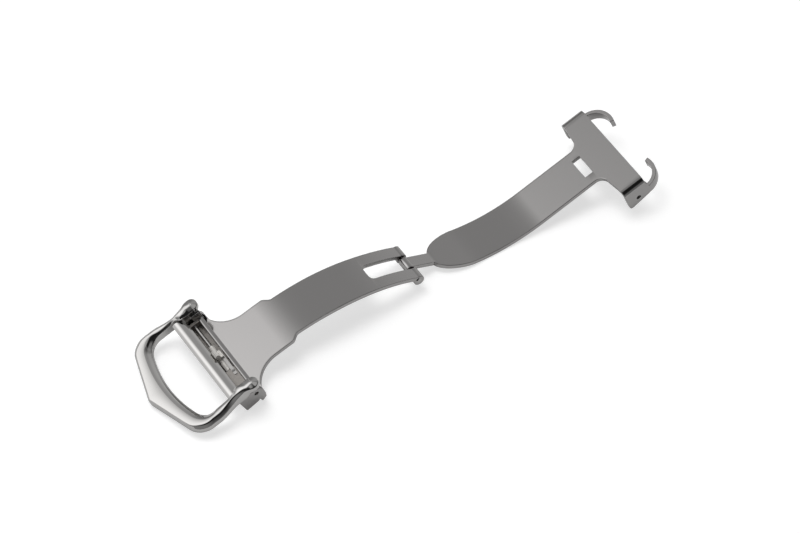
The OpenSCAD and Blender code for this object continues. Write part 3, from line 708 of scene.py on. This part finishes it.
def channel_lip():
    """The channel's right wall: its top leans 14 degrees to the right and has a broad round at the left
    edge."""
    wall = rounded([(STRIP_LEFT, CHANNEL_LOW), (WALL_RIGHT, CHANNEL_LOW), (WALL_RIGHT, -1.61),
                    (4.62, -1.47), (4.2, -1.41), (STRIP_LEFT, -1.6)],
                   [0.05, 0.05, 0.08, 0.2, 0.14, 0.1], 8)
    return [in_frame(along_y(slab(wall, -STRIP_HALF, STRIP_HALF, 0.05)))]


# The deep channel parts take the painted-shade finish, while the lip on top keeps the satin steel.
piece("channel_trough", channel(), "frame", "trough_box", shaded_trough_steel)
piece("channel_lip", channel_lip(), "frame", "trough_box", satin_steel)

# Pins, springs and the tooth keep their solids

FINISH = {"mid_pin": ground_steel, "frame_pin_far": ground_steel, "frame_pin_near": ground_steel,
          "lever_axle": ground_steel, "tooth_lever": lever_steel, "leaf_spring": spring_steel,
          "leaf_rivet": spring_steel, "spring_bar_tube": ground_steel, "spring_bar_coil": spring_steel,
          "spring_bar_tip_far": ground_steel, "spring_bar_tip_near": ground_steel}
for node, finish in FINISH.items():
    ob = frame["nodes"][node]
    ob.data.materials.clear()
    ob.data.materials.append(finish)
    ob.data.shade_smooth()
    weld = ob.modifiers.new("weld", "WELD")
    weld.merge_threshold = 1e-6
    split = ob.modifiers.new("creases", "EDGE_SPLIT")
    split.split_angle = math.radians(32)

# Table, light and camera

def table():
    """White table: matt paint, and for rays from the eye or from a gloss a little light of its own, so
    it reads as white."""
    r = 3.0
    paint_level, own_light, in_gloss = 0.50, 0.63, 0.25
    mesh = bpy.data.meshes.new("table")
    mesh.from_pydata([(-r, -r, 0), (r, -r, 0), (r, r, 0), (-r, r, 0)], [], [(0, 1, 2, 3)])
    m = bpy.data.materials.new("white_table")
    m.use_nodes = True
    nt = m.node_tree
    nt.nodes.clear()
    link = nt.links.new
    paint = nt.nodes.new("ShaderNodeBsdfDiffuse")
    paint.inputs["Color"].default_value = (paint_level, paint_level, paint_level, 1)
    glow = nt.nodes.new("ShaderNodeEmission")
    path = nt.nodes.new("ShaderNodeLightPath").outputs
    gloss = maths(nt, "MAXIMUM", path["Is Glossy Ray"], path["Is Transmission Ray"])
    seen = maths(nt, "MAXIMUM", path["Is Camera Ray"], maths(nt, "MULTIPLY", gloss, in_gloss))
    link(maths(nt, "MULTIPLY", seen, own_light), glow.inputs["Strength"])
    add = nt.nodes.new("ShaderNodeAddShader")
    link(paint.outputs["BSDF"], add.inputs[0])
    link(glow.outputs["Emission"], add.inputs[1])
    out = nt.nodes.new("ShaderNodeOutputMaterial")
    link(add.outputs["Shader"], out.inputs["Surface"])
    mesh.materials.append(m)
    ob = bpy.data.objects.new("table", mesh)
    bpy.context.scene.collection.objects.link(ob)


def stand(name, data, right, up, back, at):
    """Puts a lamp or camera at a point. It looks against back, and right and up are its picture's
    axes."""
    ob = bpy.data.objects.new(name, data)
    bpy.context.scene.collection.objects.link(ob)
    m = Matrix.Identity(4)
    for i in range(3):
        m[i][0], m[i][1], m[i][2], m[i][3] = right[i], up[i], back[i], at[i]
    ob.matrix_world = m
    return ob


def lamp(name, place, target, size, watts):
    """A soft light. Its window fades towards all four edges, so that its picture in polished metal has
    no hard edge."""
    data = bpy.data.lights.new(name, "AREA")
    data.shape = "RECTANGLE"
    data.size, data.size_y = size
    data.energy = watts
    data.use_nodes = True
    nt = data.node_tree
    split = nt.nodes.new("ShaderNodeSeparateXYZ")
    nt.links.new(nt.nodes.new("ShaderNodeNewGeometry").outputs["Parametric"], split.inputs["Vector"])
    off = [maths(nt, "ABSOLUTE", maths(nt, "SUBTRACT", split.outputs[axis], 0.5)) for axis in "XY"]
    both = maths(nt, "MULTIPLY", *(ramp(nt, o, 0.08, 0.5, 1.0, 0.0) for o in off))
    nt.links.new(both, nt.nodes["Emission"].inputs["Strength"])
    place, target = np.array(place, float), np.array(target, float)
    back = (place - target) / np.linalg.norm(place - target)
    right = np.cross([0, 0, 1], back)
    right = right / np.linalg.norm(right)
    return stand(name, data, right, np.cross(back, right), back, place)


def world():
    """The room: bright at the back, brighter at the left and overhead, and grey elsewhere. Behind the
    camera stands a dark flag, mostly left of it. It darkens between 17 and 38 degrees above the table,
    and above 50 degrees it spreads to the right as well. Each level is a product of smooth steps over
    the direction's X (across), Y (depth) and Z (high)."""
    w = bpy.data.worlds.new("studio")
    bpy.context.scene.world = w
    w.use_nodes = True
    nt = w.node_tree
    nt.nodes.clear()
    link = nt.links.new
    split = nt.nodes.new("ShaderNodeSeparateXYZ")
    link(nt.nodes.new("ShaderNodeTexCoord").outputs["Generated"], split.inputs["Vector"])
    across, depth, high = (split.outputs[k] for k in "XYZ")

    def times(first, *others):
        for other in others:
            first = maths(nt, "MULTIPLY", first, other)
        return first

    def plus(first, *others):
        for other in others:
            first = maths(nt, "ADD", first, other)
        return first

    def without(flag):
        return maths(nt, "SUBTRACT", 1.0, flag)

    back = times(ramp(nt, depth, -0.12, 0.44, 0.02, 0.50), ramp(nt, depth, 0.6, 0.95, 1.0, 0.6))
    left = times(ramp(nt, across, -0.75, 0.15, 0.41, 0.0), ramp(nt, depth, 0.05, 0.50, 0.0, 1.0))
    right = times(ramp(nt, across, 0.45, 0.85, 0.0, 0.17), ramp(nt, depth, 0.05, 0.50, 0.0, 1.0))
    overhead = ramp(nt, high, 0.95, 0.985, 0.0, 0.45)
    high_flag = times(ramp(nt, high, 0.76, 0.84, 0.0, 1.0), ramp(nt, depth, -0.16, -0.04, 1.0, 0.0))
    low_flag = times(ramp(nt, across, -0.92, -0.8, 0.0, 1.0), ramp(nt, across, -0.05, 0.45, 1.0, 0.0),
                     ramp(nt, depth, -0.2, -0.08, 1.0, 0.0), ramp(nt, high, 0.3, 0.62, 0.0, 1.0))
    front = times(ramp(nt, depth, -0.2, 0.1, 0.28, 0.0), without(high_flag), without(low_flag))
    wide = plus(ramp(nt, across, -0.75, -0.5, 1.0, 0.0), ramp(nt, across, 0.5, 0.75, 0.0, 1.0))
    sides = times(wide, ramp(nt, depth, 0.1, 0.45, 0.22, 0.0), ramp(nt, depth, -0.3, -0.05, 0.0, 1.0))
    grey = nt.nodes.new("ShaderNodeBackground")
    link(plus(back, left, right, front, sides, overhead), grey.inputs["Strength"])
    white = nt.nodes.new("ShaderNodeBackground")
    white.inputs["Color"].default_value = (1, 1, 1, 1)
    path = nt.nodes.new("ShaderNodeLightPath")
    mix = nt.nodes.new("ShaderNodeMixShader")
    out = nt.nodes.new("ShaderNodeOutputWorld")
    link(path.outputs["Is Camera Ray"], mix.inputs["Fac"])
    link(grey.outputs["Background"], mix.inputs[1])
    link(white.outputs["Background"], mix.inputs[2])
    link(mix.outputs["Shader"], out.inputs["Surface"])


def camera():
    """The photograph's camera: 51 degrees above the table and turned 32.8 degrees from straight across.
    Its place, in millimetres, and its focal length come from mirror pairs of points on the clasp."""
    turn, tip = math.radians(32.8115), math.radians(51.0)
    right = np.array([math.cos(turn), -math.sin(turn), 0])
    ahead = np.array([math.sin(turn) * math.cos(tip), math.cos(turn) * math.cos(tip), -math.sin(tip)])
    at = np.array([-198.385 - X_MID, -367.960, 544.529]) * MM
    data = bpy.data.cameras.new("camera")
    data.lens, data.sensor_width = 188.43, 36.0
    data.clip_start, data.clip_end = 0.01, 20
    bpy.context.scene.camera = stand("camera", data, right, np.cross(right, ahead), -ahead, at)


table()
world()
camera()
lamp("softbox", (-0.27, 0.28, 0.44), (-0.06, 0, 0), (0.50, 0.50), 0.62)
overhead = lamp("overhead", (-0.15, 0.12, 0.85), (0, 0, 0), (0.7, 0.6), 12.8)
overhead.visible_glossy = False
bpy.context.scene.view_settings.view_transform = "Standard"
